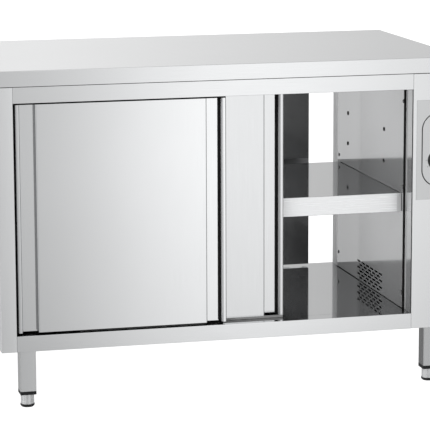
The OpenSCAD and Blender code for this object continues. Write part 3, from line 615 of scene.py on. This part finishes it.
def make_screws():
    screws, crosses, washers = bmesh.new(), bmesh.new(), bmesh.new()
    for x, way, y, z in SCREWS:
        out = along((way, 0, 0), (x + way * WASHER_T, y, z))
        turned(screws, SCREW, out)
        turned(washers, WASHER, out)
        for wide, tall in ((CROSS_L, CROSS_W), (CROSS_W, CROSS_L)):
            bar(crosses, (x + way * CROSS_LOW, y - wide, z - tall),
                (x + way * CROSS_HIGH, y + wide, z + tall))
    stands_for(shown(screws, "wall_screws_domed", "cabinet", "zinc_steel"), "wall_screws")
    # The black crosses are painted shade for the screws' cross recesses
    shown(crosses, "screw_recess_shade_crosses", "cabinet", "mark_black")
    shown(washers, "screw_washers", "cabinet", "black_plastic")


# The open peg holes have black grommets, and blind sleeves behind them
OPEN_HOLES = [(x, way, y, z) for x, way in WALLS for y in (-0.122, 0.197) for z in (0.554, 0.638)]
GROMMET = [(0.0032, -0.0014), (0.0032, 0.0012), (0.0036, 0.0016), (0.0048, 0.0016), (0.0054, 0.0010),
           (0.0055, 0.0001)]
SLEEVE = [(0.0046, 0.0017), (0.0052, 0.0022), (0.0052, 0.0078), (0.0046, 0.0085)]


def line_peg_holes():
    grommets, sleeves = bmesh.new(), bmesh.new()
    for x, way, y, z in OPEN_HOLES:
        turned(grommets, GROMMET, along((way, 0, 0), (x, y, z)), capped=False)
        turned(sleeves, SLEEVE, along((-way, 0, 0), (x, y, z)))
    shown(grommets, "peg_hole_grommets", "cabinet", "black_rubber")
    shown(sleeves, "peg_hole_sleeves", "cabinet", "black_plastic")


# The inner walls end at WALL_Y, and the flanges beside the doors lie at RETURN_Y. For all trim, IN
# is how far it reaches into its sheet, and OUT how far it stands out of it
WALL_Y, RETURN_Y = 0.292, 0.304
FOOT_Y, FOOT_W, FOOT_H = 0.2945, 0.0022, 0.0009
END_SHADE_LAP, END_SHADE_OUT, END_SHADE_IN = 0.0080, 0.0005, 0.0029
SEAM_W, STRIP_W = 0.0010, 0.0028


def edge_walls():
    """Black strips of painted shade in the crease at the walls' feet and in the gap at their front ends, and
    steel strips at their ends.
    """
    # Black strips at the walls' feet: painted shade in the crease with the floor
    bars("wall_foot_shade_strips", "cabinet",
         [((x, -FOOT_Y, FLOOR_Z), (x + way * FOOT_W, FOOT_Y, FLOOR_Z + FOOT_H)) for x, way in WALLS])
    # A black strip at each wall's front end is painted shade in the gap there
    bars("wall_end_shade_strips", "cabinet",
         [((x + way * END_SHADE_OUT, -0.0006 - WALL_Y, LOW_Z), (x - way * END_SHADE_IN, END_SHADE_LAP - WALL_Y, HIGH_Z))
          for x, way in WALLS])
    bars("wall_end_seams", "cabinet",
         [((x - way * END_SHADE_IN, 0.0001 - RETURN_Y, LOW_Z),
           (x - way * (END_SHADE_IN + SEAM_W), -0.0001 - WALL_Y, HIGH_Z)) for x, way in WALLS],
         "seam_sheet")
    bars("wall_end_strips", "cabinet",
         [((x, WALL_Y - 0.0003, LOW_Z), (x - way * STRIP_W, RETURN_Y - 0.0001, HIGH_Z)) for x, way in WALLS],
         "flange_sheet")


# The fold of the front post, and the joint between the worktop's fold and the rails, where black strips are
# painted shade
POST_X, POST_LOW_Y, POST_HIGH_Y = 0.465, -0.3482, -0.3424
JOINT_INSET, JOINT_DEPTH, JOINT_H = 0.003, 0.0040, 0.0010


def edge_outside():
    """Black strips of painted shade: a dark line on the post that the front door meets, and the shadow line
    under the worktop.
    """
    # A thin black strip at the post's fold: painted shade
    bars("post_edge_shade_strip", "cabinet",
         [((POST_X - 0.0003, POST_LOW_Y, LOW_Z), (POST_X + 0.0001, POST_HIGH_Y, HIGH_Z))])
    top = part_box("front_top_rail")[1][2]
    low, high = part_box("worktop")
    # A black strip under the worktop's fold is a painted shadow line
    bars("worktop_shadow_strips", "cabinet",
         [((low[0] + JOINT_INSET, y - out * 0.00015, top - 0.0001),
           (high[0] - JOINT_INSET, y - out * JOINT_DEPTH, top + JOINT_H)) for y, out in ends("worktop", 1)])


BUFFER_IN, BUFFER_OUT, BUFFER_H, BUFFER_INSET = 0.0010, 0.0015, 0.011, 0.004
CAP_IN, CAP_OUT, CAP_DEPTH = 0.0090, 0.0018, 0.0030


def edge_shelf():
    """Thin rubber buffers along the shelf's two sides, and end caps on its front and rear folds."""
    low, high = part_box("shelf")
    bars("shelf_side_buffers", "shelf",
         [((x - way * BUFFER_IN, low[1] + BUFFER_INSET, high[2] - BUFFER_H),
           (x + way * BUFFER_OUT, high[1] - BUFFER_INSET, high[2] - 0.0002))
          for x, way in ends("shelf", 0)])
    bars("shelf_end_caps", "shelf",
         [((x - way * CAP_IN, y + out * 0.0004, low[2] + 0.0002),
           (x + way * CAP_OUT, y - out * CAP_DEPTH, high[2] - 0.0006))
          for x, way in ends("shelf", 0) for y, out in ends("shelf", 1)], "flange_sheet")


GRIP_SHADE_W, GRIP_SHADE_T = 0.0055, 0.0070
WIPER_FROM, WIPER_TO = 0.0006, 0.0040
INNER_DOORS = ("front_right", "rear_left")


def edge_door(door):
    """Black strips of painted shade down the right grip and on the door's top under the rail, and on an
    inner door a grey wiper whose grey is a painted reflection of the door in the sill.
    """
    name = door + "_door"
    low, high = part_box(name)
    y, out = (low[1] + GRIP_FLOOR, -1) if door.startswith("front") else (high[1] - GRIP_FLOOR, 1)
    # The black strip down the grip is painted shade in the grip's channel
    bars(door + "_grip_shade_strip", name,
         [((high[0] - LIP_W - GRIP_SHADE_W, y - out * 0.0002, low[2] + 0.0008),
           (high[0] - LIP_W + 0.0002, y + out * GRIP_SHADE_T, high[2] - 0.0008))])
    # A black strip on the door's top, under the rail: painted shadow in the gap above the door
    bars(name + "_top_shade_strip", name,
         [((low[0] + 0.001, low[1] + 0.0006, high[2]),
           (high[0] - 0.001, high[1] - 0.004, CEILING_Z - 0.0009))])
    if door in INNER_DOORS:
        y, way = (low[1], 1) if door.startswith("front") else (high[1], -1)
        # A grey rubber wiper whose light grey stands for the door's reflection in the sill: a painted
        # reflection
        bars(name + "_reflection_wiper", name,
             [((low[0] + 0.002, y + way * WIPER_FROM, FLOOR_Z + 0.0006),
               (high[0] - 0.002, y + way * WIPER_TO, low[2] + 0.0005))], "wiper_reflection_grey")


make_knob()
make_dial()
mark_rocker()
make_screws()
line_peg_holes()
edge_walls()
edge_outside()
edge_shelf()
for door in DOORS:
    edge_door(door)

# ---- Studio
FLOOR_HALF = 40.0
FLOOR_TONE = 0.50
FLOOR_GLOW = 0.92


def make_floor():
    mesh = bpy.data.meshes.new("floor")
    h = FLOOR_HALF
    mesh.from_pydata([(-h, -h, 0), (h, -h, 0), (h, h, 0), (-h, h, 0)], [], [(0, 1, 2, 3)])
    floor = linked("floor", mesh)
    material = bpy.data.materials.new("floor")
    g = Graph(material)
    g.shader.inputs["Base Color"].default_value = (FLOOR_TONE, FLOOR_TONE, FLOOR_TONE, 1)
    g.shader.inputs["Roughness"].default_value = 1.0
    g.shader.inputs["Specular IOR Level"].default_value = 0.0
    g.shader.inputs["Emission Color"].default_value = (1, 1, 1, 1)
    g.shader.inputs["Emission Strength"].default_value = FLOOR_GLOW
    paint(floor, material)
    floor.visible_glossy = False


# How bright the studio is by compass: degrees from -Y towards +X, and the level there
STUDIO_ROUND = [(-180, 1.08), (-172, 0.92), (-167, 0.70), (-163, 0.16), (-157, 0.16), (-150, 0.50),
                (-125, 0.50), (-105, 1.25), (-58, 1.25), (-40, 0.95), (-30, 0.60), (-21, 0.24),
                (-10, 0.24), (-6, 0.68), (8.8, 0.71), (9.8, 0.81), (10.9, 1.00), (12.9, 1.42),
                (14.8, 1.68), (16.9, 1.42), (18.9, 1.18), (26, 0.95), (46, 0.80), (60, 0.35),
                (72, 0.22), (120, 0.50), (150, 0.80), (161, 0.80), (166, 0.98), (170, 1.12),
                (180, 1.08)]
# The same by height: degrees above the horizon, and a factor
STUDIO_UP = [(-90, 0.45), (-25, 0.60), (-13.5, 0.78), (-11, 0.92), (-9, 0.99), (-5, 1.0), (30, 1.0),
             (90, 0.9)]
# However dark the studio is there, it isn't darker than this at a height
STUDIO_LEAST = [(-90, 0.45), (-22, 0.45), (-16, 0.0), (15, 0.0), (22, 0.55), (90, 0.60)]
# What dull surfaces get from all round
AMBIENT = 0.85
# The level that a ramp's white stands for
RAMP_TOP = 2.0


def ramp(tree, value, stops, half_turn):
    """A level by angle, from stops of (degrees, level) that run from -half_turn to half_turn.

    value is that angle as 0 to 1."""
    made = tree.nodes.new("ShaderNodeValToRGB")
    made.color_ramp.interpolation = "LINEAR"
    steps = made.color_ramp.elements
    steps.remove(steps[1])
    for i, (angle, level) in enumerate(stops):
        at = (angle + half_turn) / (2 * half_turn)
        step = steps.new(at) if i else steps[0]
        step.position = at
        shade = level / RAMP_TOP
        step.color = (shade, shade, shade, 1)
    tree.links.new(value, made.inputs["Fac"])
    return made.outputs["Color"]


def make_world():
    world = bpy.data.worlds.new("studio")
    bpy.context.scene.world = world
    world.use_nodes = True
    tree = world.node_tree
    tree.nodes.clear()

    def math_node(operation, *values):
        made = tree.nodes.new("ShaderNodeMath")
        made.operation = operation
        for socket, value in zip(made.inputs, values):
            if isinstance(value, bpy.types.NodeSocket):
                tree.links.new(value, socket)
            else:
                socket.default_value = value
        return made.outputs[0]

    place = tree.nodes.new("ShaderNodeTexCoord")
    split = tree.nodes.new("ShaderNodeSeparateXYZ")
    tree.links.new(place.outputs["Generated"], split.inputs[0])
    x, y, z = split.outputs
    compass = math_node("ARCTAN2", x, math_node("MULTIPLY", y, -1.0))
    compass = math_node("MULTIPLY_ADD", compass, 1 / (2 * math.pi), 0.5)
    height = math_node("MULTIPLY_ADD", math_node("ARCSINE", z), 1 / math.pi, 0.5)
    level = math_node("MULTIPLY", ramp(tree, compass, STUDIO_ROUND, 180), ramp(tree, height, STUDIO_UP, 90))
    level = math_node("MULTIPLY", level, RAMP_TOP ** 2)
    least = math_node("MULTIPLY", ramp(tree, height, STUDIO_LEAST, 90), RAMP_TOP)
    level = math_node("MAXIMUM", level, least)
    # Diffuse surfaces get a plain level, glossy ones the studio, the camera plain white
    path = tree.nodes.new("ShaderNodeLightPath")
    glossy = math_node("MULTIPLY", path.outputs["Is Glossy Ray"], level)
    dull = math_node("SUBTRACT", 1.0, path.outputs["Is Glossy Ray"])
    dull = math_node("MULTIPLY", dull, AMBIENT)
    both = math_node("ADD", glossy, dull)
    both = math_node("MAXIMUM", both, path.outputs["Is Camera Ray"])
    back = tree.nodes.new("ShaderNodeBackground")
    tree.links.new(both, back.inputs["Strength"])
    out = tree.nodes.new("ShaderNodeOutputWorld")
    tree.links.new(back.outputs[0], out.inputs[0])


def make_lamp(name, at, target, size, power, seen=True, mirrored=None, tall=None, spread=180, roll=0):
    """An area lamp, which the camera sees if seen is true and mirror-like sheets if mirrored is."""
    data = bpy.data.lights.new(name, "AREA")
    data.size = size
    if tall:
        data.shape = "RECTANGLE"
        data.size_y = tall
    data.spread = math.radians(spread)
    data.energy = power
    lamp = linked(name, data)
    lamp.location = at
    aim = (Vector(target) - Vector(at)).to_track_quat("-Z", "Y").to_matrix()
    lamp.rotation_euler = (aim @ Matrix.Rotation(math.radians(roll), 3, "Z")).to_euler()
    lamp.visible_camera = seen
    lamp.visible_glossy = seen if mirrored is None else mirrored


make_floor()
make_world()
make_lamp("key", (-2.6, -3.4, 3.6), (0, 0, 0.5), 2.4, 60)
# Soft fill inside the cabinet, which no mirror-like sheet shows
make_lamp("fill_upper", (0.02, -0.12, 0.68), (0.46, -0.08, 0.64), 0.12, 2.2, seen=False)
make_lamp("fill_lower", (0.06, -0.14, 0.415), (0.46, -0.12, 0.43), 0.05, 2.0, seen=False)
# Light cards behind the shelf, which only the right inner wall mirrors to the front
CARD_X, CARD_Y = 0.352, 0.284
CARD_AIM_X, CARD_AIM_Y = 0.32, -1.0
CARD_W, CARD_SPREAD = 0.250, 30
for name, low, high, rise, power, roll in (("card_upper", 0.496, 0.775, 0.14, 0.0030, 1.7),
                                           ("card_lower", 0.203, 0.450, 0.19, 0.0022, 2.8)):
    middle = (low + high) / 2
    aim = (CARD_X + CARD_AIM_X, CARD_Y + CARD_AIM_Y, middle + rise)
    make_lamp(name, (CARD_X, CARD_Y, middle), aim, CARD_W, power, seen=False, mirrored=True,
              tall=high - low, spread=CARD_SPREAD, roll=roll)
bpy.context.scene.view_settings.view_transform = "Standard"
